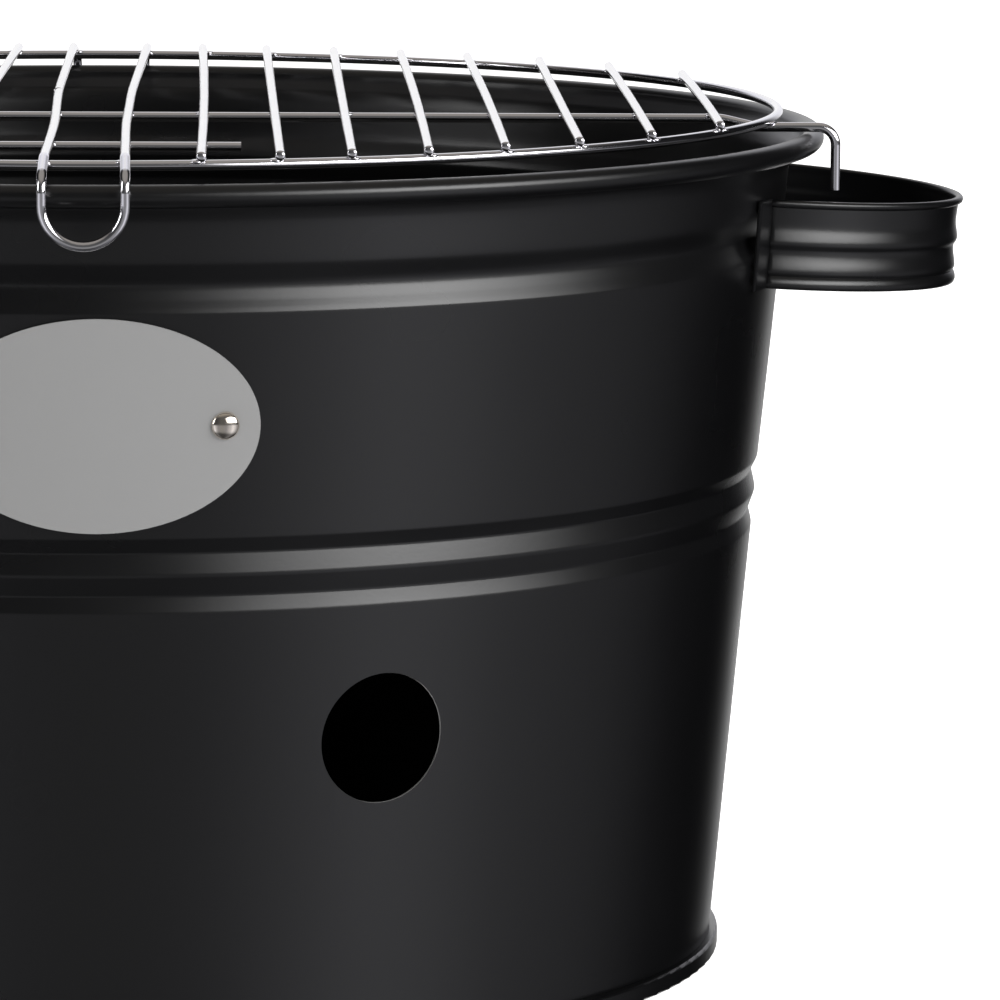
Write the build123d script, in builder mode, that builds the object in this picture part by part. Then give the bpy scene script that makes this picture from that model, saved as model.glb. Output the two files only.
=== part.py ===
from build123d import *
import math
import os

# Portable tabletop charcoal grill: a tapered sheet-steel bucket, two strap handles, a loose
# charcoal grate and a chrome wire cooking grate that hooks over the rim.
# Millimetres, +Z up, origin on the floor under the middle of the bucket.
# The front, with the name plate and one wire handle, faces -Y. The side handles point along X.

# ---- Bucket ----
bucket_height = 192.3          # floor to the top of the rolled rim
wall_foot_radius = 143.55      # outside of the wall, carried down to the floor
lower_wall_taper = 0.091       # radius gained per millimetre of height below the paired grooves
upper_wall_taper = 0.100       # the same above them
sheet_thickness = 0.6

groove_band_height = 100.7     # floor to the lower edge of the paired grooves
groove_depth = 1.05
groove_band_step = 0.2         # the wall steps in this much at the lower edge
lower_groove_rise = 2.6        # from the lower edge of the band to each feature of it
crest_rise = 7.7
upper_groove_rise = 12.15
groove_band_rise = 14.9
crest_bulge = 0.3

rib_crease_drop = 27.8         # rim top down to the sharp lower edge of the wide groove
rib_deep_drop = 20.8           # rim top down to the deepest line of the wide groove
rib_depth = 1.35
rib_top_drop = 17.0            # rim top down to where the wall flares out again
rib_top_flare = 0.5            # how far the flare stands outside the tapered wall there

rim_overhang = 7.05            # wall at the crease out to the middle of the rolled rim
rim_wire_radius = 1.85
rim_wire_clearance = 0.05
rim_roll_end = 235.0           # degrees round the roll where the sheet stops

vent_radius = 14.3
vent_height = 70.6
vent_azimuth = 24.1            # degrees from the front or back, to each side

# ---- Base pan ----
base_band_height = 4.1
base_band_stand_out = 1.9      # how far the folded edge stands outside the wall
base_panel_lift = 3.0          # floor to the underside of the pan
base_fold_clearance = 0.05

# ---- Side handles ----
strap_height = 20.4
strap_thickness = 0.8
strap_curl_radius = 0.9        # centre line of the curled edges
handle_reach = 48.7            # wall out to the middle of the strap at its tip
handle_tip_radius = 52.5
handle_corner_radius = 4.0
handle_crease_half_width = 51.2   # where each side of the loop meets the wall
handle_droop = 3.83            # degrees the loop hangs down
handle_above_crease = 4.0      # middle of the strap above the wall's crease
tab_length = 10.5

# ---- Name plate ----
plate_half_width = 34.5
plate_half_height = 23.0
plate_lift = 0.5               # above halfway between the grooves
plate_thickness = 0.8
plate_rivet_azimuth = 9.9
rivet_head_radius = 3.05
rivet_head_height = 1.5
rivet_shank_radius = 1.6

# ---- Charcoal grate ----
charcoal_plate_thickness = 1.0
charcoal_plate_clearance = 0.75   # held this far above its seat on the ridge
charcoal_edge_inset = 0.7         # plate edge inside the wall above the ridge
charcoal_hole_radius = 6.5
charcoal_hole_spacing = 29.0

# ---- Cooking grate ----
wire_radius = 1.1
weld_depth = 0.35              # how far crossing wires melt into each other
grate_rim_clearance = 0.3      # gap between the resting grate and the rim
ring_inset = 8.1               # middle of the rolled rim in to the middle of the ring wire
outer_bar_inset = 17.55        # middle of the ring wire in to the outermost bar
bar_slots = 18                 # bar places across the ring, counting the two handle legs
grate_turn = -1.4              # degrees the loose grate lies turned on the rim
handle_leg_gap = 4.4           # middle of the rim out to the hanging U's wire, less the rim's radius
handle_leg_spread = 0.4        # each leg of the U stands this much wider than its bar
handle_drop = 12.4             # rim top down to the bottom of the U
hook_wire_place = -33.5        # along the bars from the middle
hook_gap = 2.65                # rim to hook leg
hook_bend_radius = 4.0
hook_drop = 12.9               # rim top down to the hook's end
hook_joggle_inset = 3.5        # where the wire has dropped under the ring, inside the ring
hook_joggle_length = 8.0
short_wire_place = -112.0
short_wire_overrun = 6.2       # past the outer bar it is welded to
short_wire_shift = 3.0         # its middle lies this far off the grate's middle
leg_joint_place = 12.0         # along the bars, where the two ends of the handle loop are butted

# The bars are welded by hand, so each wanders off its even place: at its front end, middle and back end.
# From the middle of the grate outwards; the other half of the grate wanders the opposite way.
left_leg_wander = (1.35, -0.75, -1.3)
right_leg_wander = (1.7, -0.15, 1.0)
leg_bow_place = -78.0               # along the bars, where each leg of the loop bends a second time
left_leg_bow = 1.15
right_leg_bow = 0.3
leg_bend_radius = 2500.0            # the wander is a very gentle curve
bar_wander = [
    (1.0, 0.3, -1.4),
    (1.0, -0.4, -1.7),
    (-0.4, -0.9, -1.2),
    (-0.6, -0.3, -0.9),
    (-0.5, -0.3, -0.9),
    (-0.6, -0.3, 0.2),
    (-0.6, 0.0, 0.1),
    (-0.5, 0.3, 0.2),
]

# ---- Values that follow from those above ----
rib_crease_height = bucket_height - rib_crease_drop
lower_groove_height = groove_band_height + lower_groove_rise
crest_height = groove_band_height + crest_rise
upper_groove_height = groove_band_height + upper_groove_rise
groove_band_top = groove_band_height + groove_band_rise


def wall_radius(height):
    """Outside radius of the tapered wall, leaving out its grooves."""
    if height <= groove_band_height:
        return wall_foot_radius + lower_wall_taper * height
    edge = wall_foot_radius + lower_wall_taper * groove_band_height
    return edge - groove_band_step + upper_wall_taper * (height - groove_band_height)


roll_inner_radius = rim_wire_radius + rim_wire_clearance
roll_outer_radius = roll_inner_radius + sheet_thickness
rim_middle_radius = wall_radius(rib_crease_height) + rim_overhang
rim_middle_height = bucket_height - roll_outer_radius
rim_outer_radius = rim_middle_radius + roll_outer_radius

wall_bottom = sheet_thickness + base_fold_clearance
plate_middle = (groove_band_top + rib_crease_height) / 2 + plate_lift

# Outside of the wall from its foot to the foot of the rolled rim, as (radius, height).
wall_outside = [
    (wall_radius(wall_bottom), wall_bottom),
    (wall_radius(groove_band_height), groove_band_height),
    (wall_radius(lower_groove_height) - groove_depth, lower_groove_height),
    (wall_radius(crest_height - 2.2) + crest_bulge * 0.6, crest_height - 2.2),
    (wall_radius(crest_height) + crest_bulge, crest_height),
    (wall_radius(crest_height + 1.8) + crest_bulge * 0.5, crest_height + 1.8),
    (wall_radius(upper_groove_height) - groove_depth, upper_groove_height),
    (wall_radius(groove_band_top), groove_band_top),
    (wall_radius(rib_crease_height), rib_crease_height),
    (wall_radius(bucket_height - rib_deep_drop - 3.0) - rib_depth * 0.8, bucket_height - rib_deep_drop - 3.0),
    (wall_radius(bucket_height - rib_deep_drop) - rib_depth, bucket_height - rib_deep_drop),
    (wall_radius(bucket_height - rib_deep_drop + 2.0) - rib_depth * 0.6, bucket_height - rib_deep_drop + 2.0),
    (wall_radius(bucket_height - rib_top_drop) + rib_top_flare, bucket_height - rib_top_drop),
    (rim_middle_radius - roll_outer_radius, rim_middle_height - roll_outer_radius),
]


def on_circle(radius, degrees):
    """A point of a circle round the middle of the rolled rim, as (radius, height)."""
    angle = math.radians(degrees)
    return (rim_middle_radius + radius * math.cos(angle), rim_middle_height + radius * math.sin(angle))


def radial_plane(azimuth, height, distance):
    """A plane that faces straight out of the bucket; azimuth runs from the front towards +X."""
    angle = math.radians(azimuth)
    outwards = Vector(math.sin(angle), -math.cos(angle), 0)
    return Plane(
        origin=outwards * distance + Vector(0, 0, height),
        x_dir=(math.cos(angle), math.sin(angle), 0),
        z_dir=outwards,
    )


# ---- Bucket wall ----
with BuildPart() as bucket_wall:
    with BuildSketch(Plane.XZ):
        with BuildLine():
            outside = Polyline(*wall_outside)
            lead_in = Line(outside @ 1, on_circle(roll_inner_radius, 180))
            wire_side = ThreePointArc(
                lead_in @ 1,
                on_circle(roll_inner_radius, (rim_roll_end - 180) / 2),
                on_circle(roll_inner_radius, rim_roll_end - 360),
            )
            roll_edge = Line(wire_side @ 1, on_circle(roll_outer_radius, rim_roll_end - 360))
            open_side = ThreePointArc(
                roll_edge @ 1,
                on_circle(roll_outer_radius, (rim_roll_end - 180) / 2),
                on_circle(roll_outer_radius, 180),
            )
            inside = [(radius - sheet_thickness, height) for radius, height in reversed(wall_outside)]
            Polyline(open_side @ 1, *inside, outside @ 0)
        make_face()
    revolve(axis=Axis.Z)
    # Vents: a pair at the front and the same pair at the back.
    for azimuth in (-vent_azimuth, vent_azimuth, 180 - vent_azimuth, 180 + vent_azimuth):
        with BuildSketch(radial_plane(azimuth, vent_height, wall_radius(vent_height) - 20)):
            Circle(vent_radius)
        extrude(amount=40, mode=Mode.SUBTRACT)
    # Holes for the two name plate rivets.
    for azimuth in (-plate_rivet_azimuth, plate_rivet_azimuth):
        with BuildSketch(radial_plane(azimuth, plate_middle, wall_radius(plate_middle) - 10)):
            Circle(rivet_shank_radius)
        extrude(amount=20, mode=Mode.SUBTRACT)

# ---- Wire inside the rolled rim ----
with BuildPart() as rim_wire:
    with BuildSketch(Plane.XZ):
        with Locations((rim_middle_radius, rim_middle_height)):
            Circle(rim_wire_radius)
    revolve(axis=Axis.Z)

# ---- Base pan: its edge is a channel that grips the foot of the wall ----
base_outer_radius = wall_radius(base_band_height) + base_band_stand_out
channel_inner_radius = wall_radius(wall_bottom) - sheet_thickness - base_fold_clearance
with BuildPart() as bucket_base:
    with BuildSketch(Plane.XZ):
        with BuildLine():
            Polyline(
                (0, base_panel_lift),
                (channel_inner_radius - sheet_thickness, base_panel_lift),
                (channel_inner_radius - sheet_thickness, 0),
                (base_outer_radius, 0),
                (base_outer_radius, base_band_height),
                (wall_radius(base_band_height) + base_fold_clearance, base_band_height),
                (wall_radius(wall_bottom) + base_fold_clearance, sheet_thickness),
                (channel_inner_radius, sheet_thickness),
                (channel_inner_radius, base_panel_lift + sheet_thickness),
                (0, base_panel_lift + sheet_thickness),
                close=True,
            )
        make_face()
    revolve(axis=Axis.Z)
    outer_edges = bucket_base.edges().filter_by(GeomType.CIRCLE).group_by(SortBy.RADIUS)[-1]
    fillet(outer_edges, radius=0.6)

# ---- Side handles ----
strap_middle_height = rib_crease_height + handle_above_crease
tab_radius = wall_radius(strap_middle_height) + strap_thickness / 2
crease_x = math.sqrt(tab_radius**2 - handle_crease_half_width**2)
crease_angle = math.degrees(math.asin(handle_crease_half_width / tab_radius))
droop = math.radians(handle_droop)
loop_plane = Plane(
    origin=(crease_x, 0, strap_middle_height),
    x_dir=(math.cos(droop), 0, -math.sin(droop)),
    z_dir=(math.sin(droop), 0, math.cos(droop)),
)
# The loop, seen along the strap's height, is one wide arc with a tighter arc at each end.
tip_centre = handle_reach - handle_tip_radius
chord = math.hypot(tip_centre, handle_crease_half_width)
swing = math.acos(
    (handle_corner_radius**2 + chord**2 - (handle_tip_radius - handle_corner_radius) ** 2)
    / (2 * handle_corner_radius * chord)
)
lean = math.atan2(handle_crease_half_width, tip_centre) - swing
corner_centre = (
    handle_corner_radius * math.cos(lean),
    handle_corner_radius * math.sin(lean) - handle_crease_half_width,
)
blend_angle = math.atan2(corner_centre[1], corner_centre[0] - tip_centre)
blend_point = (
    tip_centre + handle_tip_radius * math.cos(blend_angle),
    handle_tip_radius * math.sin(blend_angle),
)
corner_middle_angle = (lean - math.pi + blend_angle) / 2
corner_middle = (
    corner_centre[0] + handle_corner_radius * math.cos(corner_middle_angle),
    corner_centre[1] + handle_corner_radius * math.sin(corner_middle_angle),
)
half_strap = strap_height / 2
curl_middle = half_strap - strap_curl_radius - strap_thickness / 2
tab_low = strap_middle_height - half_strap
tab_high = strap_middle_height + half_strap


def wall_outside_radius(height):
    """Outside radius of the real wall, grooves and flare included."""
    for (low_radius, low), (high_radius, high) in zip(wall_outside, wall_outside[1:]):
        if low <= height <= high:
            return low_radius + (high_radius - low_radius) * (height - low) / (high - low)
    return wall_radius(height)


def strap_centre_line():
    """The pressed strap cut across: (outwards, up) from its lower curl to its upper one."""
    line = []
    for degrees in (100, 50, 0, -50, -90, -135):
        angle = math.radians(degrees)
        line.append((strap_curl_radius * (1 + math.cos(angle)), -curl_middle + strap_curl_radius * math.sin(angle)))
    line += [(0, -curl_middle), (0.3, -half_strap + 4.4), (-0.1, -half_strap + 8.0), (0.75, 0.3), (-0.1, 3.6),
             (-0.25, 6.4), (0, curl_middle)]
    for degrees in (135, 90, 50, 0, -50, -100):
        angle = math.radians(degrees)
        line.append((strap_curl_radius * (1 + math.cos(angle)), curl_middle + strap_curl_radius * math.sin(angle)))
    return line


def thicken(line, thickness):
    """A closed outline this thick, with the line running along its middle."""
    left, right = [], []
    for index, point in enumerate(line):
        before, after = line[max(index - 1, 0)], line[min(index + 1, len(line) - 1)]
        run, rise = after[0] - before[0], after[1] - before[1]
        length = math.hypot(run, rise)
        across = (-rise / length * thickness / 2, run / length * thickness / 2)
        left.append((point[0] + across[0], point[1] + across[1]))
        right.append((point[0] - across[0], point[1] - across[1]))
    return left + right[::-1]


strap_outline = thicken(strap_centre_line(), strap_thickness)

with BuildPart() as right_handle:
    with BuildLine(loop_plane) as loop_line:
        ThreePointArc((0, -handle_crease_half_width), corner_middle, blend_point)
        ThreePointArc(blend_point, (handle_reach, 0), (blend_point[0], -blend_point[1]))
        ThreePointArc(
            (blend_point[0], -blend_point[1]),
            (corner_middle[0], -corner_middle[1]),
            (0, handle_crease_half_width),
        )
    loop_path = Wire(loop_line.edges())
    start = loop_path @ 0
    along = loop_path % 0
    section_plane = Plane(origin=start, x_dir=along.cross(loop_plane.z_dir), z_dir=along)
    with BuildSketch(section_plane) as strap_section:
        with BuildLine():
            Polyline(*strap_outline, close=True)
        make_face()
    sweep(path=loop_path)
    # The tab lies on the wall below the crease and bridges the wide groove above it.
    tab_outline = [
        (wall_outside_radius(tab_low), tab_low),
        (wall_radius(rib_crease_height), rib_crease_height),
        (wall_outside_radius(tab_high), tab_high),
    ]
    tab_turn = math.degrees(tab_length / tab_radius)
    tab_start = math.radians(-crease_angle - tab_turn)
    tab_plane = Plane(
        origin=(0, 0, 0),
        x_dir=(math.cos(tab_start), math.sin(tab_start), 0),
        z_dir=(math.sin(tab_start), -math.cos(tab_start), 0),
    )
    with BuildSketch(tab_plane):
        with BuildLine():
            Polyline(
                *tab_outline,
                *[(radius + strap_thickness, height) for radius, height in reversed(tab_outline)],
                close=True,
            )
        make_face()
    revolve(axis=Axis.Z, revolution_arc=tab_turn + 0.25)
    mirror(about=Plane.XZ)
    # Nothing of the handle reaches through the wall.
    with BuildSketch(Plane.XZ):
        with BuildLine():
            Polyline((0, wall_outside[0][1]), *wall_outside, (0, wall_outside[-1][1]), close=True)
        make_face()
    revolve(axis=Axis.Z, mode=Mode.SUBTRACT)

with BuildPart() as left_handle:
    add(right_handle.part)
    mirror(about=Plane.YZ, mode=Mode.REPLACE)

# ---- Name plate: an oval cut from a shell that lies on the wall ----
plate_low = plate_middle - plate_half_height - 5
plate_high = plate_middle + plate_half_height + 5
with BuildPart() as name_plate:
    with BuildSketch(Plane.XZ):
        with BuildLine():
            Polyline(
                (wall_radius(plate_low), plate_low),
                (wall_radius(plate_high), plate_high),
                (wall_radius(plate_high) + plate_thickness, plate_high),
                (wall_radius(plate_low) + plate_thickness, plate_low),
                close=True,
            )
        make_face()
    revolve(axis=Axis.Z)
    with BuildSketch(Plane.XZ):
        with Locations((0, plate_middle)):
            Ellipse(plate_half_width, plate_half_height)
    extrude(amount=wall_foot_radius + 60, mode=Mode.INTERSECT)
    for azimuth in (-plate_rivet_azimuth, plate_rivet_azimuth):
        with BuildSketch(radial_plane(azimuth, plate_middle, wall_radius(plate_middle) - 10)):
            Circle(rivet_shank_radius)
        extrude(amount=20, mode=Mode.SUBTRACT)

# ---- Name plate rivets: a domed head outside, a shank through both sheets, a flat head inside ----
plate_rivets = []
for azimuth in (-plate_rivet_azimuth, plate_rivet_azimuth):
    inner_face = wall_radius(plate_middle) - sheet_thickness
    outer_face = wall_radius(plate_middle) + plate_thickness
    with BuildPart() as plate_rivet:
        with BuildSketch(radial_plane(azimuth, plate_middle, outer_face)):
            Circle(rivet_head_radius)
        extrude(amount=rivet_head_height)
        crown = plate_rivet.faces().filter_by(GeomType.PLANE).sort_by_distance((0, 0, plate_middle))[-1]
        fillet(crown.edges(), radius=rivet_head_height * 0.9)
        with BuildSketch(radial_plane(azimuth, plate_middle, inner_face - 0.1)):
            Circle(rivet_shank_radius)
        extrude(amount=outer_face - inner_face + 0.2)
        with BuildSketch(radial_plane(azimuth, plate_middle, inner_face - 1.1)):
            Circle(rivet_shank_radius + 0.9)
        extrude(amount=1.0)
    plate_rivets.append(plate_rivet)

# ---- Charcoal grate: a perforated plate that rests on the ridge inside the upper groove ----
ridge_top_radius = wall_radius(groove_band_top) - sheet_thickness
ridge_radius = wall_radius(upper_groove_height) - groove_depth - sheet_thickness
charcoal_radius = ridge_top_radius - charcoal_edge_inset
seat_share = (charcoal_radius - ridge_radius) / (ridge_top_radius - ridge_radius)
seat_height = upper_groove_height + seat_share * (groove_band_top - upper_groove_height)
charcoal_height = seat_height + charcoal_plate_clearance
with BuildPart() as charcoal_grate:
    with BuildSketch(Plane.XY.offset(charcoal_height)):
        Circle(charcoal_radius)
        Circle(charcoal_hole_radius, mode=Mode.SUBTRACT)
        hole_rings = int((charcoal_radius - 2 * charcoal_hole_radius) / charcoal_hole_spacing)
        for ring_number in range(1, hole_rings + 1):
            with PolarLocations(ring_number * charcoal_hole_spacing, 6 * ring_number):
                Circle(charcoal_hole_radius, mode=Mode.SUBTRACT)
    extrude(amount=charcoal_plate_thickness)

# ---- Cooking grate: heights of the crossing wires, from the rim up ----
under_wire_height = bucket_height + grate_rim_clearance + wire_radius
wire_step = 2 * wire_radius - weld_depth
ring_height = under_wire_height + wire_step
bar_height = ring_height + wire_step
ring_radius = rim_middle_radius - ring_inset
bar_pitch = 2 * (ring_radius - outer_bar_inset) / (bar_slots - 1)
turn = math.radians(grate_turn)


def on_grate(across, along_bar, height):
    """A point of the grate, which lies slightly turned on the rim."""
    return Vector(
        across * math.cos(turn) - along_bar * math.sin(turn),
        across * math.sin(turn) + along_bar * math.cos(turn),
        height,
    )


along_bars = Vector(-math.sin(turn), math.cos(turn), 0)
across_bars = Vector(math.cos(turn), math.sin(turn), 0)

with BuildPart() as grate_ring:
    with BuildSketch(Plane.XZ):
        with Locations((ring_radius, ring_height)):
            Circle(wire_radius)
    revolve(axis=Axis.Z)

grate_bars = []
for slot in range(bar_slots):
    place = (slot - (bar_slots - 1) / 2) * bar_pitch
    if abs(place) < bar_pitch:
        continue                      # the two middle places are the legs of the handle loop
    half_bar = math.sqrt((ring_radius + wire_radius) ** 2 - place**2)
    side = 1 if place > 0 else -1
    front, middle, back = bar_wander[round(abs(place) / bar_pitch - 1.5)]
    with BuildPart() as grate_bar:
        with BuildLine() as bar_line:
            ThreePointArc(
                on_grate(place + side * front, -half_bar, bar_height),
                on_grate(place + side * middle, 0, bar_height),
                on_grate(place + side * back, half_bar, bar_height),
            )
        bar_path = Wire(bar_line.edges())
        with BuildSketch(Plane(origin=bar_path @ 0, z_dir=bar_path % 0)):
            Circle(wire_radius)
        sweep(path=bar_path)
    grate_bars.append(grate_bar)


def bent_wire(corners, bends):
    """A path through these corners, rounded at each inner corner by its bend radius."""
    here = corners[0]
    for before, corner, after, bend in zip(corners, corners[1:], corners[2:], bends):
        back, forward = (before - corner).normalized(), (after - corner).normalized()
        half_angle = back.get_angle(forward) / 2
        run = bend / math.tan(math.radians(half_angle))
        bisector = (back + forward).normalized()
        middle = corner + bisector * (bend / math.sin(math.radians(half_angle)) - bend)
        Line(here, corner + back * run)
        ThreePointArc(corner + back * run, middle, corner + forward * run)
        here = corner + forward * run
    Line(here, corners[-1])


# ---- Handle loop: two legs of one wire, with a U hanging over the rim at the front and the back ----
leg_place = bar_pitch / 2
u_radius = leg_place + handle_leg_spread
hang_place = rim_middle_radius + handle_leg_gap + wire_radius
bar_overrun = ring_radius + wire_radius + 1.0
u_bend = u_radius - 0.05
u_bottom = bucket_height - handle_drop
left_front, left_middle, left_back = [wander - leg_place for wander in left_leg_wander]
right_front, right_middle, right_back = [wander + leg_place for wander in right_leg_wander]


def hanging_u(side, first_leg, last_leg):
    """Corners of one U, from the end of one leg to the end of the other."""
    middle = (first_leg + last_leg) / 2
    reach = u_radius if last_leg > first_leg else -u_radius
    return [
        (first_leg, side * bar_overrun, bar_height),
        (middle - reach, side * hang_place, under_wire_height + 0.4),
        (middle - reach, side * hang_place, u_bottom),
        (middle + reach, side * hang_place, u_bottom),
        (middle + reach, side * hang_place, under_wire_height + 0.4),
        (last_leg, side * bar_overrun, bar_height),
    ]


left_bow = (left_leg_bow - leg_place, leg_bow_place, bar_height)
right_bow = (right_leg_bow + leg_place, leg_bow_place, bar_height)
left_joint = (left_middle, leg_joint_place, bar_height)
right_joint = (right_middle, leg_joint_place, bar_height)


def between(first, second, place):
    """The point of the straight wire from one corner to another at this place along the bars."""
    share = (place - first[1]) / (second[1] - first[1])
    return (first[0] + (second[0] - first[0]) * share, place, bar_height)


split_place = -35.0                   # the loop is swept in two halves that meet here, on straight wire
left_split = between(left_bow, left_joint, split_place)
right_split = between(right_bow, right_joint, split_place)
front_half = [left_split, left_bow, *hanging_u(-1, left_front, right_front), right_bow, right_split]
back_half = [right_split, right_joint, *hanging_u(1, right_back, left_back), left_joint, left_split]
u_bends = [8.0, 4.0, u_bend, u_bend, 4.0, 8.0]
with BuildPart() as grate_handle_loop:
    for corners in (front_half, back_half):
        bends = [leg_bend_radius, *u_bends, leg_bend_radius]
        with BuildLine() as leg_line:
            bent_wire([on_grate(*corner) for corner in corners], bends)
        leg_path = Wire(leg_line.edges())
        with BuildSketch(Plane(origin=leg_path @ 0, z_dir=leg_path % 0)):
            Circle(wire_radius)
        sweep(path=leg_path, transition=Transition.ROUND)

# ---- Hook wire: crosses under the bars, ducks under the ring and hooks over the rim at both sides ----
hook_leg = math.sqrt((rim_outer_radius + wire_radius + hook_gap) ** 2 - hook_wire_place**2)
ring_crossing = math.sqrt(ring_radius**2 - hook_wire_place**2)
joggle_out = ring_crossing - hook_joggle_inset
joggle_in = joggle_out - hook_joggle_length
with BuildPart() as grate_hook_wire:
    with BuildLine() as hook_line:
        bent_wire(
            [
                on_grate(-hook_leg, hook_wire_place, bucket_height - hook_drop),
                on_grate(-hook_leg, hook_wire_place, under_wire_height),
                on_grate(-joggle_out, hook_wire_place, under_wire_height),
                on_grate(-joggle_in, hook_wire_place, ring_height),
                on_grate(joggle_in, hook_wire_place, ring_height),
                on_grate(joggle_out, hook_wire_place, under_wire_height),
                on_grate(hook_leg, hook_wire_place, under_wire_height),
                on_grate(hook_leg, hook_wire_place, bucket_height - hook_drop),
            ],
            [hook_bend_radius, 8.0, 8.0, 8.0, 8.0, hook_bend_radius],
        )
    hook_path = Wire(hook_line.edges())
    hook_end = on_grate(-hook_leg, hook_wire_place, bucket_height - hook_drop)
    with BuildSketch(Plane(origin=hook_end, x_dir=across_bars, z_dir=(0, 0, 1))):
        Circle(wire_radius)
    sweep(path=hook_path, transition=Transition.ROUND)

# ---- Short wire under the four middle bars ----
half_short = 1.5 * bar_pitch + short_wire_overrun
with BuildPart() as grate_short_wire:
    short_end = Plane(
        origin=on_grate(short_wire_shift - half_short, short_wire_place, ring_height),
        x_dir=along_bars,
        z_dir=across_bars,
    )
    with BuildSketch(short_end):
        Circle(wire_radius)
    extrude(amount=2 * half_short)

# ---- Labels and files ----
pieces = {
    "bucket_wall": bucket_wall,
    "rim_wire": rim_wire,
    "bucket_base": bucket_base,
    "left_handle": left_handle,
    "right_handle": right_handle,
    "name_plate": name_plate,
    "plate_rivet_left": plate_rivets[0],
    "plate_rivet_right": plate_rivets[1],
    "charcoal_grate": charcoal_grate,
    "grate_ring": grate_ring,
    "grate_handle_loop": grate_handle_loop,
    "grate_hook_wire": grate_hook_wire,
    "grate_short_wire": grate_short_wire,
}
for number, grate_bar in enumerate(grate_bars, start=1):
    pieces[f"grate_bar_{number:02d}"] = grate_bar

os.makedirs("parts", exist_ok=True)
for label, piece in pieces.items():
    piece.part.label = label
    export_step(piece.part, f"parts/{label}.step")
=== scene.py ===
from math import acos, atan2, cos, hypot, pi, radians, sin, sqrt

import bpy
from mathutils import Matrix, Vector


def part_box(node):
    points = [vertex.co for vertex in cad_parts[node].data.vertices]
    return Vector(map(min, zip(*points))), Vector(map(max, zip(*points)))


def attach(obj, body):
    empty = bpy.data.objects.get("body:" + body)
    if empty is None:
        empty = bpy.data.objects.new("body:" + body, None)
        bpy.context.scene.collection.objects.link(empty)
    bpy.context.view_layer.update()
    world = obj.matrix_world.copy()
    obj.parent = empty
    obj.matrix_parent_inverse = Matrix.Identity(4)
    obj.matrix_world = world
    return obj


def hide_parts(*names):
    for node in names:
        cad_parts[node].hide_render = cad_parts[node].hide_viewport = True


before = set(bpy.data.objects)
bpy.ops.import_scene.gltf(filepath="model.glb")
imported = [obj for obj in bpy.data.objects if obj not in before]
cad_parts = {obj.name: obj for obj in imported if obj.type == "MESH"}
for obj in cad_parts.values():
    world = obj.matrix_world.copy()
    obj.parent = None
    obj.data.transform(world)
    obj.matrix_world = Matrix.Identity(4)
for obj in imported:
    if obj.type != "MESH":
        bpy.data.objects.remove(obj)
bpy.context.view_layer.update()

MM = 0.001


def bearing(degrees_round):
    """The level direction this many degrees round from straight ahead, to the right."""
    return Vector((sin(radians(degrees_round)), -cos(radians(degrees_round)), 0))


# ---------------------------------------------------------------- materials
def new_material(name):
    material = bpy.data.materials.new(name)
    material.use_nodes = True
    return material, material.node_tree.nodes, material.node_tree.links


def paint_skin_group():
    """Fine orange peel and soft dust mottling of baked powder paint."""
    group = bpy.data.node_groups.new("powder paint skin", "ShaderNodeTree")
    face = group.interface
    face.new_socket("Peel size", in_out="INPUT", socket_type="NodeSocketFloat")
    face.new_socket("Mottle size", in_out="INPUT", socket_type="NodeSocketFloat")
    face.new_socket("Roughness low", in_out="INPUT", socket_type="NodeSocketFloat")
    face.new_socket("Roughness high", in_out="INPUT", socket_type="NodeSocketFloat")
    face.new_socket("Height", in_out="OUTPUT", socket_type="NodeSocketFloat")
    face.new_socket("Roughness", in_out="OUTPUT", socket_type="NodeSocketFloat")
    nodes, links = group.nodes, group.links
    inside = nodes.new("NodeGroupInput")
    out = nodes.new("NodeGroupOutput")
    place = nodes.new("ShaderNodeTexCoord")
    peel = nodes.new("ShaderNodeTexNoise")
    peel.inputs["Detail"].default_value = 2.0
    mottle = nodes.new("ShaderNodeTexNoise")
    mottle.inputs["Detail"].default_value = 3.0
    spread = nodes.new("ShaderNodeMapRange")
    spread.inputs["From Min"].default_value = 0.3
    spread.inputs["From Max"].default_value = 0.7
    links.new(place.outputs["Object"], peel.inputs["Vector"])
    links.new(place.outputs["Object"], mottle.inputs["Vector"])
    links.new(inside.outputs["Peel size"], peel.inputs["Scale"])
    links.new(inside.outputs["Mottle size"], mottle.inputs["Scale"])
    links.new(mottle.outputs["Fac"], spread.inputs["Value"])
    links.new(inside.outputs["Roughness low"], spread.inputs["To Min"])
    links.new(inside.outputs["Roughness high"], spread.inputs["To Max"])
    links.new(peel.outputs["Fac"], out.inputs["Height"])
    links.new(spread.outputs["Result"], out.inputs["Roughness"])
    return group


def painted(name, colour, peel, mottle, low, high, bump, specular):
    """Paint of one colour; peel and mottle set how fine its grain is, low and high its roughness."""
    material, nodes, links = new_material(name)
    shader = nodes["Principled BSDF"]
    shader.inputs["Base Color"].default_value = (*colour, 1)
    shader.inputs["Specular IOR Level"].default_value = specular
    skin = nodes.new("ShaderNodeGroup")
    skin.node_tree = SKIN
    skin.inputs["Peel size"].default_value = peel
    skin.inputs["Mottle size"].default_value = mottle
    skin.inputs["Roughness low"].default_value = low
    skin.inputs["Roughness high"].default_value = high
    relief = nodes.new("ShaderNodeBump")
    relief.inputs["Strength"].default_value = bump
    relief.inputs["Distance"].default_value = 0.0001
    links.new(skin.outputs["Height"], relief.inputs["Height"])
    links.new(relief.outputs["Normal"], shader.inputs["Normal"])
    links.new(skin.outputs["Roughness"], shader.inputs["Roughness"])
    return material


def plated(name, colour, peel, low, high, bump):
    """Bare or plated metal with the same grain."""
    material = painted(name, colour, peel, 60, low, high, bump, 0.5)
    material.node_tree.nodes["Principled BSDF"].inputs["Metallic"].default_value = 1
    return material


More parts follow.
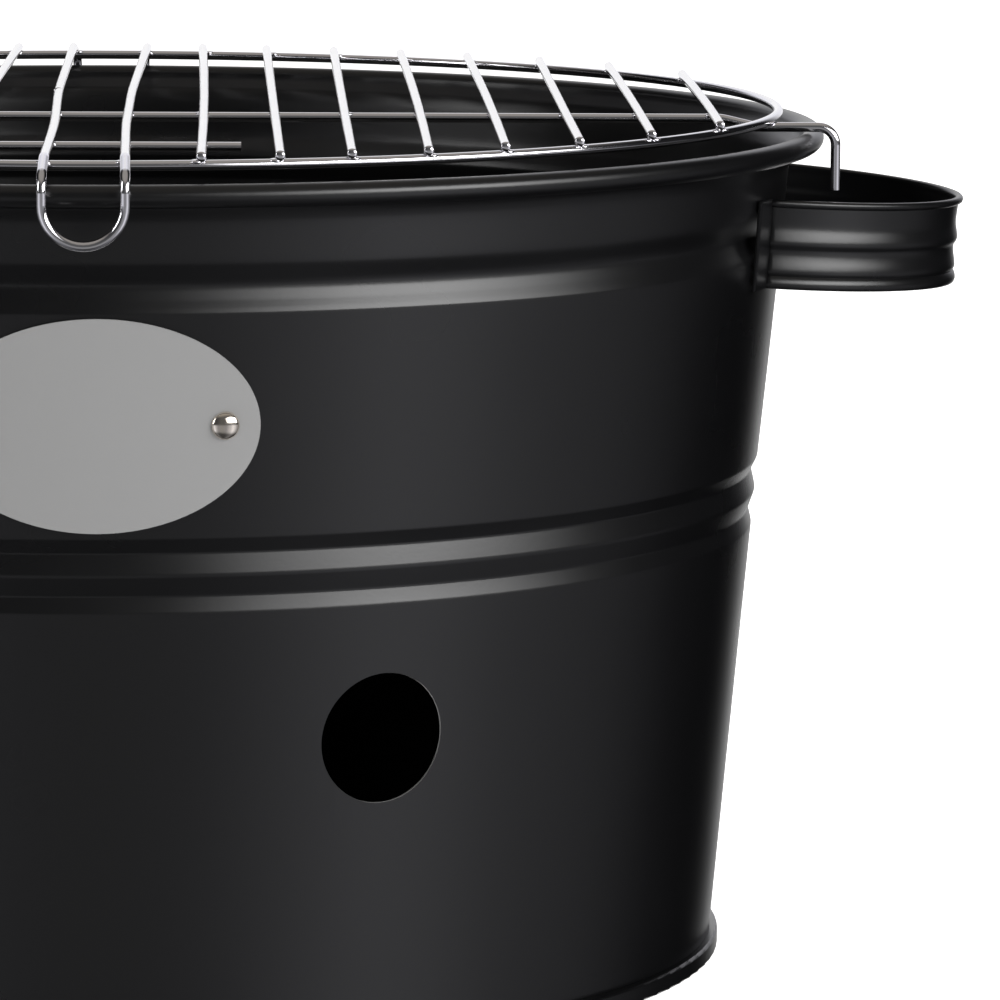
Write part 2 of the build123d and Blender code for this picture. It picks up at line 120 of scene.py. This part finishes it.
SKIN = paint_skin_group()
BLACK_ENAMEL = painted("satin black powder paint", (0.0022, 0.0022, 0.0025), 900, 18, 0.26, 0.32, 0.10, 0.5)
GRATE_ENAMEL = painted("black fire grate enamel", (0.004, 0.004, 0.004), 700, 25, 0.45, 0.6, 0.3, 0.4)
PLATE_GREY = painted("matte grey name plate", (0.205, 0.205, 0.205), 1400, 30, 0.62, 0.70, 0.05, 0.3)
CHROME = plated("bright chrome wire", (0.80, 0.79, 0.82), 500, 0.09, 0.14, 0.05)
NICKEL = plated("nickel rivet", (0.86, 0.79, 0.70), 900, 0.12, 0.18, 0.05)
# painted highlight: the vents' cut faces are the sheet's cut edge, given a lighter grey than the paint that
# stands in for the thin bright line along each hole
CUT_EDGE_HIGHLIGHT = painted("punched edge painted highlight", (0.25, 0.25, 0.25), 900, 40, 0.4, 0.5, 0.1, 0.5)
RIM_STEEL = plated("bare rim wire", (0.5, 0.5, 0.5), 800, 0.35, 0.45, 0.1)

finish_of = {node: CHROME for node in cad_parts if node.startswith("grate_")}
finish_of.update({
    "bucket_wall": BLACK_ENAMEL,
    "bucket_base": BLACK_ENAMEL,
    "left_handle": BLACK_ENAMEL,
    "right_handle": BLACK_ENAMEL,
    "charcoal_grate": GRATE_ENAMEL,
    "name_plate": PLATE_GREY,
    "plate_rivet_left": NICKEL,
    "plate_rivet_right": NICKEL,
    "rim_wire": RIM_STEEL,
})
for node, material in finish_of.items():
    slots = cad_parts[node].data.materials
    slots.clear()
    slots.append(material)


# ---------------------------------------------------------------- sheet metal, drawn edge by edge
def begin(name):
    """A single point in edit mode, ready to be drawn out into a line."""
    bpy.ops.object.select_all(action="DESELECT")
    bpy.ops.mesh.primitive_plane_add(size=0.0002, location=(0, 0, 0))
    piece = bpy.context.active_object
    piece.name = name
    bpy.ops.object.mode_set(mode="EDIT")
    bpy.ops.mesh.select_all(action="SELECT")
    bpy.ops.mesh.merge(type="CENTER")
    return piece


def draw_line(points):
    """Draws the point out, edge by edge, through these places."""
    bpy.ops.transform.translate(value=points[0])
    for before, after in zip(points, points[1:]):
        step = Vector(after) - Vector(before)
        bpy.ops.mesh.extrude_region_move(TRANSFORM_OT_translate={"value": step})


def turn_line(middle, axis, angle, steps):
    """Spins what is selected about an axis, the right-hand way round."""
    bpy.ops.mesh.spin(steps=steps, angle=-angle, center=middle, axis=axis, dupli=False)


def close_up():
    """Merges the seam of a turned line, points the faces outwards and leaves edit mode."""
    bpy.ops.mesh.select_all(action="SELECT")
    bpy.ops.mesh.remove_doubles(threshold=0.02 * MM)
    bpy.ops.mesh.normals_make_consistent(inside=False)
    bpy.ops.object.mode_set(mode="OBJECT")


def pick(piece):
    """Makes this the only selected object."""
    bpy.ops.object.select_all(action="DESELECT")
    piece.select_set(True)
    bpy.context.view_layer.objects.active = piece


def apply_all(piece):
    """Applies the modifiers in their order, then the object's own place, turn and scale."""
    pick(piece)
    for modifier in list(piece.modifiers):
        bpy.ops.object.modifier_apply(modifier=modifier.name)
    bpy.ops.object.transform_apply(location=True, rotation=True, scale=True)


def thicken(piece, thickness):
    """Gives a sheet its thickness, half to each side of the drawn middle."""
    sheet = piece.modifiers.new("sheet", "SOLIDIFY")
    sheet.thickness = thickness
    sheet.offset = 0
    sheet.use_even_offset = True


def smooth(piece, angle):
    pick(piece)
    bpy.ops.object.shade_smooth_by_angle(angle=radians(angle))


def finish(piece, material, body, *nodes):
    """Gives a piece its material, unless it has its own, and its place among the CAD's bodies."""
    if material is not None:
        piece.data.materials.clear()
        piece.data.materials.append(material)
    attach(piece, body)
    if nodes:
        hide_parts(*nodes)


def join(pieces, name):
    pick(pieces[0])
    for piece in pieces:
        piece.select_set(True)
    bpy.ops.object.join()
    pieces[0].name = name
    return pieces[0]


def rounded(points, steps=4, share=0.34):
    """A line through these points with its inner corners eased, as a press leaves them."""
    line = [points[0]]
    for before, corner, after in zip(points, points[1:], points[2:]):
        start = [c + (b - c) * share for b, c in zip(before, corner)]
        end = [c + (a - c) * share for a, c in zip(after, corner)]
        for step in range(steps + 1):
            t = step / steps
            line.append(tuple(
                (1 - t) ** 2 * s + 2 * t * (1 - t) * c + t * t * e for s, c, e in zip(start, corner, end)
            ))
    line.append(points[-1])
    return line


# ---------------------------------------------------------------- bucket
SHEET = 0.6 * MM
ROLL_OUTSIDE = 2.5 * MM
ROLL_RADIUS = ROLL_OUTSIDE - SHEET / 2
RIM_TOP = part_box("bucket_wall")[1].z
RIM_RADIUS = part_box("bucket_wall")[1].x
RIM_MIDDLE = (RIM_RADIUS - ROLL_OUTSIDE, RIM_TOP - ROLL_OUTSIDE)
STEPS_ROUND = 216

VENT_RADIUS, VENT_HEIGHT = 14.3 * MM, 70.6 * MM
VENT_TURNS = (24.1, -24.1, 155.9, -155.9)          # degrees round from straight ahead
VENT_EDGE = 0.4 * MM                               # how wide its outside edge is eased
PUNCH_LENGTH, PUNCH_PLACE = 60 * MM, 150 * MM
SKIN_FOOT, SKIN_TAPER = 143.4 * MM, 0.0917         # a cone just under the outside of the lower wall


def wall_line():
    """Middle of the sheet, foot to rolled rim: the shallow taper, two rolled grooves and the rib.

    The points give the outside of the wall, as (radius, height) in millimetres.
    """
    foot = (143.61, 0.65)
    grooves = [
        (147.6, 45.0), (152.375, 97.0), (152.66, 100.1), (151.80, 103.6), (153.45, 108.2), (152.38, 112.95),
        (154.02, 116.2), (154.3, 119.0), (156.4, 139.5),
    ]
    crease = [(158.31, 159.0), (158.83, 164.45), (158.4, 165.7)]
    rib = [
        (158.4, 165.7), (157.85, 167.2), (157.35, 169.1), (157.25, 170.3), (157.75, 171.7), (159.4, 174.7),
        (159.75, 176.3), (160.4, 183.6), (161.5, 186.4), (163.3, 188.6),
    ]
    eased = [foot] + rounded(grooves, 5, 0.11) + rounded(crease, 4, 0.16) + rounded(rib, 4)[1:]
    line = [(radius * MM - SHEET / 2, 0, height * MM) for radius, height in eased]
    for degrees_round in range(176, -126, -12):
        angle = radians(degrees_round)
        line.append((RIM_MIDDLE[0] + ROLL_RADIUS * cos(angle), 0, RIM_MIDDLE[1] + ROLL_RADIUS * sin(angle)))
    return line


def ease_vent_edges(wall):
    """Breaks the outside edge of every vent, where the paint turns in and catches the light."""
    touching = {}
    for face in wall.data.polygons:
        for key in face.edge_keys:
            touching.setdefault(key, set()).add(face.material_index)
    for part in (wall.data.polygons, wall.data.edges, wall.data.vertices):
        part.foreach_set("select", [False] * len(part))
    for edge in wall.data.edges:
        ends = [wall.data.vertices[v].co for v in edge.vertices]
        outside = all(hypot(p.x, p.y) > SKIN_FOOT + SKIN_TAPER * p.z for p in ends)
        edge.select = outside and len(touching[tuple(sorted(edge.vertices))]) == 2
    pick(wall)
    bpy.context.tool_settings.mesh_select_mode = (False, True, False)
    bpy.ops.object.mode_set(mode="EDIT")
    bpy.ops.mesh.bevel(offset=VENT_EDGE, segments=3, affect="EDGES", clamp_overlap=True)
    bpy.ops.mesh.region_to_loop()
    bpy.ops.mesh.mark_sharp()
    bpy.ops.object.mode_set(mode="OBJECT")
    bpy.context.tool_settings.mesh_select_mode = (True, False, False)


def vent_punch(turn):
    """A round punch through the wall; it leaves a cut edge behind, in a lighter grey that paints in a thin
    highlight along the hole.
    """
    bpy.ops.object.select_all(action="DESELECT")
    bpy.ops.mesh.primitive_cylinder_add(
        vertices=72, radius=VENT_RADIUS, depth=PUNCH_LENGTH, location=(0, 0, 0)
    )
    punch = bpy.context.active_object
    punch.rotation_mode = "QUATERNION"
    punch.rotation_quaternion = bearing(turn).to_track_quat("Z", "Y")
    punch.location = bearing(turn) * PUNCH_PLACE + Vector((0, 0, VENT_HEIGHT))
    punch.data.materials.append(BLACK_ENAMEL)
    punch.data.materials.append(CUT_EDGE_HIGHLIGHT)
    # its faces become the holes' cut faces, in the lighter grey of the painted highlight
    for face in punch.data.polygons:
        face.material_index = 1
    return punch


def bucket_sheet():
    """The rolled wall: its profile spun round, given its thickness, then punched for the vents."""
    wall = begin("bucket_wall_sheet")
    draw_line(wall_line())
    bpy.ops.mesh.select_all(action="SELECT")
    turn_line((0, 0, 0), (0, 0, 1), 2 * pi, STEPS_ROUND)
    close_up()
    thicken(wall, SHEET)
    apply_all(wall)
    wall.data.materials.append(BLACK_ENAMEL)
    # second slot: the lighter grey painted highlight on the vents' cut faces
    wall.data.materials.append(CUT_EDGE_HIGHLIGHT)
    punches = [vent_punch(turn) for turn in VENT_TURNS]
    for punch in punches:
        cut = wall.modifiers.new("vent", "BOOLEAN")
        cut.object = punch
        cut.operation = "DIFFERENCE"
        cut.solver = "EXACT"
        apply_all(wall)
    for punch in punches:
        bpy.data.objects.remove(punch)
    ease_vent_edges(wall)
    smooth(wall, 30)
    finish(wall, None, "bucket", "bucket_wall")


# ---------------------------------------------------------------- side handles
STRAP = 0.8 * MM
REACH = 48.7 * MM                                  # wall out to the middle of the strap at its tip
TIP_RADIUS, CORNER_RADIUS = 52 * MM, 2 * MM
HALF_SPAN = 51.2 * MM                              # middle of the loop to where it leaves the wall
DROOP = 3.83                                       # degrees the loop leans with the wall
CREASE_X, CREASE_HEIGHT = 151.26 * MM, 168.5 * MM  # where the loop leaves the wall
TAB_TURN = 3.8                                     # degrees round the wall that each tab covers
TAB_LIFT = 0.45 * MM                               # middle of the tab off the wall
TAB_HEIGHTS = (-10.15, -9.6, -5, 0, 5, 9.6, 10.15)
CURL_RADIUS, CURL_MIDDLE = 0.5, 9.3


def strap_line():
    """Middle of the pressed strap cut across, as (outwards, up) in millimetres, low roll to high curl."""
    line = rounded([
        (0.05, -9.75), (0.38, -9.7), (0.58, -9.1), (0.52, -8.5), (0.25, -7.8), (-0.28, -7.2), (-0.05, -6.85),
        (0.26, -6.2), (0.1, -5.0), (-0.22, -3.5), (-0.4, -2.3), (-0.38, -1.1), (0.3, 0.0), (0.36, 0.6),
        (0.16, 1.7), (-0.2, 3.3), (-0.28, 4.6), (-0.12, 7.0), (0, 8.3), (0, CURL_MIDDLE),
    ], 2)
    for turn in (150, 120, 90, 60, 30, 0, -35, -75, -115, -150):
        curl = radians(turn)
        line.append((CURL_RADIUS * (1 + cos(curl)), CURL_MIDDLE + CURL_RADIUS * sin(curl)))
    return line


def loop_arcs():
    """Middles, start angles and end angles of the loop's three arcs, in its own plane."""
    tip = REACH - TIP_RADIUS
    chord = hypot(tip, HALF_SPAN)
    reach = TIP_RADIUS - CORNER_RADIUS
    swing = (CORNER_RADIUS**2 + chord**2 - reach**2) / (2 * CORNER_RADIUS * chord)
    lean = atan2(HALF_SPAN, tip) - acos(swing)
    corner = (CORNER_RADIUS * cos(lean), CORNER_RADIUS * sin(lean) - HALF_SPAN)
    blend = atan2(corner[1], corner[0] - tip)
    return tip, corner, lean - pi, blend


def side_handle(name, side):
    """One strap: its section spun round the loop's arcs, with a tab at each end, welded to the wall."""
    tip, corner, start, blend = loop_arcs()
    strap = begin(name)
    points = []
    for out, up in strap_line():
        radius = CORNER_RADIUS + out * MM
        points.append((corner[0] + radius * cos(start), corner[1] + radius * sin(start), up * MM))
    draw_line(points)
    bpy.ops.mesh.select_all(action="SELECT")
    turn_line((corner[0], corner[1], 0), (0, 0, 1), blend - start, 6)
    turn_line((tip, 0, 0), (0, 0, 1), -2 * blend, 64)
    turn_line((corner[0], -corner[1], 0), (0, 0, 1), blend - start, 6)
    close_up()
    tabs = []
    for end in (-1, 1):
        tab = begin(name + "_tab")
        draw_line([(TAB_LIFT, end * HALF_SPAN, up * MM) for up in TAB_HEIGHTS])
        bpy.ops.mesh.select_all(action="SELECT")
        turn_line((-CREASE_X, 0, 0), (0, 0, 1), end * radians(TAB_TURN), 8)
        close_up()
        tabs.append(tab)
    strap = join([strap] + tabs, name)
    thicken(strap, STRAP)
    edge = strap.modifiers.new("edge", "BEVEL")
    edge.width = 0.15 * MM
    edge.segments = 2
    edge.limit_method = "ANGLE"
    edge.angle_limit = radians(50)
    strap.rotation_euler = (0, radians(DROOP), 0)
    strap.location = (CREASE_X, 0, CREASE_HEIGHT)
    apply_all(strap)
    if side < 0:
        strap.scale = (-1, 1, 1)
        apply_all(strap)
        bpy.ops.object.mode_set(mode="EDIT")
        bpy.ops.mesh.select_all(action="SELECT")
        bpy.ops.mesh.normals_make_consistent(inside=False)
        bpy.ops.object.mode_set(mode="OBJECT")
    smooth(strap, 40)
    finish(strap, BLACK_ENAMEL, "bucket", "right_handle" if side > 0 else "left_handle")


# ---------------------------------------------------------------- rivets
PLATE_FACE = 157.25 * MM                           # outside of the plate at its rivets, from the axis
RIVET_TURN = 9.9                                   # degrees round from straight ahead
HEAD_RADIUS, HEAD_RISE, HEAD_LIP = 3.05, 1.45, 0.15


def rivet_line():
    """Half of the rivet cut along its axis, from the top of the dome in, as (radius, up) in millimetres."""
    line = [(0, HEAD_LIP + HEAD_RISE)]
    for step in range(80, 7, -12):
        line.append((HEAD_RADIUS * cos(radians(step)), HEAD_LIP + HEAD_RISE * sin(radians(step))))
    line += [(HEAD_RADIUS, 0.12), (2.9, 0.0), (1.6, -0.1), (1.6, -1.45), (2.4, -1.5), (2.45, -1.8)]
    return line + [(2.3, -2.1), (0, -2.15)]


def plate_rivet(name, node, turn):
    """A domed head outside, a shank through both sheets and a flat head inside."""
    low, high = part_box(node)
    height = (low.z + high.z) / 2
    rivet = begin(name)
    draw_line([(radius * MM, 0, up * MM) for radius, up in rivet_line()])
    bpy.ops.mesh.select_all(action="SELECT")
    turn_line((0, 0, 0), (0, 0, 1), 2 * pi, 32)
    close_up()
    rivet.rotation_mode = "QUATERNION"
    rivet.rotation_quaternion = bearing(turn).to_track_quat("Z", "Y")
    rivet.location = bearing(turn) * PLATE_FACE + Vector((0, 0, height))
    apply_all(rivet)
    smooth(rivet, 35)
    finish(rivet, NICKEL, "bucket", node)


# ---------------------------------------------------------------- welds of the wire grate
TURN = radians(-1.4)                               # the loose grate lies slightly turned
BAR_SLOTS, BAR_PITCH = 18, 16.505                  # places across the ring, the two loop legs included
RING_RADIUS = 157.84                               # middle of the ring wire
HOOK_WIRE_PLACE = -33.5                            # along the bars from the middle
LEG_JOINT = (-9.0, 12.0)                           # across and along, where the loop's ends are butted
UNDERSIDE, BAR_HEIGHT = 196.25, 197.4              # of the bars
WELD_SIZE, WELD_SHAPE = 1.35, (1.15, 1.15, 0.42)


def on_grate(across, along, height):
    """A place on the turned grate, given in millimetres."""
    return Vector((
        (across * cos(TURN) - along * sin(TURN)) * MM,
        (across * sin(TURN) + along * cos(TURN)) * MM,
        height * MM,
    ))


def bead(place, radius, shape):
    """One small bead of metal, squashed to shape and set in its place."""
    bpy.ops.object.select_all(action="DESELECT")
    bpy.ops.mesh.primitive_uv_sphere_add(segments=14, ring_count=8, radius=radius * MM, location=(0, 0, 0))
    blob = bpy.context.active_object
    bpy.ops.object.mode_set(mode="EDIT")
    bpy.ops.mesh.select_all(action="SELECT")
    bpy.ops.transform.resize(value=shape, center_override=(0, 0, 0))
    bpy.ops.object.mode_set(mode="OBJECT")
    blob.rotation_euler = (0, 0, TURN)
    blob.location = place
    apply_all(blob)
    return blob


def bar_ends(node):
    """Middles of a bar's two cut ends, taken from the bar itself."""
    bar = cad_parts[node]
    corners = [bar.matrix_world @ corner.co for corner in bar.data.vertices]
    for end in (min(c.y for c in corners), max(c.y for c in corners)):
        rim = [c for c in corners if abs(c.y - end) < 0.16 * MM]
        middle = sum(rim, Vector()) / len(rim)
        yield Vector((middle.x, end, BAR_HEIGHT * MM))


def weld_beads():
    """Flared resistance welds under the bars, the bars' upset ends and the loop's butt joint."""
    blobs = []
    for slot in range(BAR_SLOTS):
        across = (slot - (BAR_SLOTS - 1) / 2) * BAR_PITCH
        half = sqrt(RING_RADIUS**2 - across**2)
        for along in (-half, half):
            nudge = 1.0 if abs(across) < 9 and along < 0 else 0      # the loop's legs wander at the front
            blobs.append(bead(on_grate(across + nudge, along, UNDERSIDE), WELD_SIZE, WELD_SHAPE))
        blobs.append(bead(on_grate(across, HOOK_WIRE_PLACE, UNDERSIDE), WELD_SIZE, WELD_SHAPE))
    for number in range(1, BAR_SLOTS - 1):
        for place in bar_ends(f"grate_bar_{number:02d}"):
            blobs.append(bead(place, 1.12, (1.0, 0.42, 1.0)))
    blobs.append(bead(on_grate(*LEG_JOINT, BAR_HEIGHT), 1.2, (1.0, 0.22, 1.0)))
    welds = join(blobs, "grate_weld_beads")
    smooth(welds, 60)
    finish(welds, CHROME, "cooking_grate")


bucket_sheet()
side_handle("right_handle_strap", 1)
side_handle("left_handle_strap", -1)
plate_rivet("left_plate_rivet", "plate_rivet_left", -RIVET_TURN)
plate_rivet("right_plate_rivet", "plate_rivet_right", RIVET_TURN)
weld_beads()


# ---------------------------------------------------------------- floor, light and camera
def area_light(name, place, aim, width, height, power):
    lamp = bpy.data.lights.new(name, "AREA")
    lamp.shape = "RECTANGLE"
    lamp.size, lamp.size_y = width, height
    lamp.energy = power
    holder = bpy.data.objects.new(name, lamp)
    bpy.context.scene.collection.objects.link(holder)
    holder.location = place
    holder.rotation_mode = "QUATERNION"
    holder.rotation_quaternion = (Vector(aim) - Vector(place)).to_track_quat("-Z", "Y")
    return holder


CAMERA_PLACE, CAMERA_LENS = (0, -1.56547, 0.32203), 243.4
CAMERA_RIGHT, CAMERA_DOWN, CAMERA_ROLL = 3.4476, 7.9525, 0.3658      # degrees

SOFTBOX_PLACE, SOFTBOX_AIM = Vector((1.86, -1.42, 0.98)), Vector((0, 0, 0.12))
SOFTBOX_HEIGHT = 1.1
# the softbox fades to both sides: the place along it, the width and the power of each strip
SOFTBOX_STRIPS = ((0, 1.15, 33), (-0.825, 0.5, 8.6), (0.825, 0.5, 8.6), (-1.3, 0.45, 3.2), (1.3, 0.45, 3.2))
# how bright the studio is all round, from straight ahead (0) to straight behind (1)
FLOOR_TONES = ((0.0, 0.26), (0.1, 0.27), (0.2, 0.54), (0.28, 0.9), (0.35, 0.70), (0.42, 0.39), (0.52, 0.25),
               (0.62, 0.09), (0.67, 0.0), (0.85, 0.0), (0.92, 1.0))
CEILING_TONE = (0.32, 0.30, 0.275)
WALL_TONES = ((0.0, 0.10), (0.22, 0.05), (0.45, 0.03), (0.66, 0.01), (0.82, 0.01), (0.91, 0.9), (1.0, 1.0))


def tone_ramp(nodes, tones):
    """Tones round the room, a little cooler between the two ends."""
    ramp = nodes.new("ShaderNodeValToRGB")
    stops = ramp.color_ramp
    stops.interpolation = "EASE"
    stops.elements[0].position, stops.elements[0].color = tones[0][0], (*[tones[0][1]] * 3, 1)
    stops.elements[1].position, stops.elements[1].color = tones[-1][0], (*[tones[-1][1]] * 3, 1)
    for place, tone in tones[1:-1]:
        stops.elements.new(place).color = (tone, tone, tone * 1.06, 1)
    return ramp


def soft_step(nodes, start, end, bottom=0.0):
    """Rises softly from the bottom to 1 between two heights of the line of sight."""
    step = nodes.new("ShaderNodeMapRange")
    step.interpolation_type = "SMOOTHSTEP"
    step.inputs["From Min"].default_value = start
    step.inputs["From Max"].default_value = end
    step.inputs["To Min"].default_value = bottom
    return step


def arithmetic(nodes, operation):
    node = nodes.new("ShaderNodeMath")
    node.operation = operation
    return node


def colour_mix(nodes):
    node = nodes.new("ShaderNodeMix")
    node.data_type = "RGBA"
    return node


def studio_walls():
    """The room in soft steps: a pale sweep behind, dark walls beside, the lit floor below."""
    world = bpy.data.worlds.new("studio walls")
    bpy.context.scene.world = world
    world.use_nodes = True
    nodes, links = world.node_tree.nodes, world.node_tree.links
    direction = nodes.new("ShaderNodeTexCoord")
    split = nodes.new("ShaderNodeSeparateXYZ")
    ahead = arithmetic(nodes, "MULTIPLY")
    ahead.inputs[1].default_value = -1
    round_way = arithmetic(nodes, "ARCTAN2")
    either_side = arithmetic(nodes, "ABSOLUTE")
    share = arithmetic(nodes, "DIVIDE")
    share.inputs[1].default_value = pi
    horizon = soft_step(nodes, -0.10, 0.02)
    underfoot = soft_step(nodes, -0.74, -0.46, 0.2)
    overhead = soft_step(nodes, 0.55, 0.9)
    floor_ramp = tone_ramp(nodes, FLOOR_TONES)
    wall_ramp = tone_ramp(nodes, WALL_TONES)
    mix = colour_mix(nodes)
    ceiling = colour_mix(nodes)
    ceiling.inputs["B"].default_value = (*CEILING_TONE, 1)
    links.new(direction.outputs["Generated"], split.inputs["Vector"])
    links.new(split.outputs["Y"], ahead.inputs[0])
    links.new(split.outputs["X"], round_way.inputs[0])
    links.new(ahead.outputs["Value"], round_way.inputs[1])
    links.new(round_way.outputs["Value"], either_side.inputs[0])
    links.new(either_side.outputs["Value"], share.inputs[0])
    links.new(share.outputs["Value"], floor_ramp.inputs["Fac"])
    links.new(share.outputs["Value"], wall_ramp.inputs["Fac"])
    links.new(split.outputs["Z"], horizon.inputs["Value"])
    links.new(split.outputs["Z"], underfoot.inputs["Value"])
    links.new(split.outputs["Z"], overhead.inputs["Value"])
    links.new(horizon.outputs["Result"], mix.inputs["Factor"])
    links.new(floor_ramp.outputs["Color"], mix.inputs["A"])
    links.new(wall_ramp.outputs["Color"], mix.inputs["B"])
    links.new(overhead.outputs["Result"], ceiling.inputs["Factor"])
    links.new(mix.outputs["Result"], ceiling.inputs["A"])
    links.new(ceiling.outputs["Result"], nodes["Background"].inputs["Color"])
    links.new(underfoot.outputs["Result"], nodes["Background"].inputs["Strength"])


def studio_floor():
    """A plain pale floor, lit enough to read as white; it is left out of reflections."""
    bpy.ops.mesh.primitive_plane_add(size=16, location=(0, 0, 0))
    floor = bpy.context.active_object
    floor.name = "studio_floor"
    material, nodes, links = new_material("pale studio floor")
    shader = nodes["Principled BSDF"]
    shader.inputs["Base Color"].default_value = (0.9, 0.9, 0.9, 1)
    shader.inputs["Roughness"].default_value = 0.9
    shader.inputs["Specular IOR Level"].default_value = 0.0
    shader.inputs["Emission Color"].default_value = (1, 1, 1, 1)
    shader.inputs["Emission Strength"].default_value = 0.82
    floor.data.materials.append(material)
    floor.visible_glossy = False


def studio_lights():
    """A softbox that fades to both sides, a small one on the left and a wash from above."""
    sideways = (SOFTBOX_AIM - SOFTBOX_PLACE).cross(Vector((0, 0, 1))).normalized()
    for number, (along, width, power) in enumerate(SOFTBOX_STRIPS, 1):
        place, aim = SOFTBOX_PLACE + sideways * along, SOFTBOX_AIM + sideways * along
        area_light(f"front right softbox strip {number}", place, aim, width, SOFTBOX_HEIGHT, power)
    area_light("left softbox", (-2.3, -0.7, 1.0), (0, 0, 0.12), 0.9, 1.3, 14)
    overhead = area_light("overhead softbox", (0.1, 0.2, 2.2), (0, 0, 0.1), 2.4, 2.4, 45)
    overhead.visible_glossy = False


def studio_camera():
    """A long lens from the front, turned to the right, so the left side leaves the frame."""
    holder = bpy.data.objects.new("camera", bpy.data.cameras.new("camera"))
    bpy.context.scene.collection.objects.link(holder)
    holder.data.sensor_width = 36
    holder.data.lens = CAMERA_LENS
    holder.data.clip_start = 0.05
    turn = Matrix.Rotation(radians(-CAMERA_RIGHT), 3, "Z")
    tilt = Matrix.Rotation(radians(90 - CAMERA_DOWN), 3, "X")
    roll = Matrix.Rotation(radians(CAMERA_ROLL), 3, "Z")
    holder.rotation_mode = "QUATERNION"
    holder.rotation_quaternion = (turn @ tilt @ roll).to_quaternion()
    holder.location = CAMERA_PLACE
    bpy.context.scene.camera = holder
    bpy.context.scene.view_settings.view_transform = "Standard"


studio_floor()
studio_walls()
studio_lights()
studio_camera()
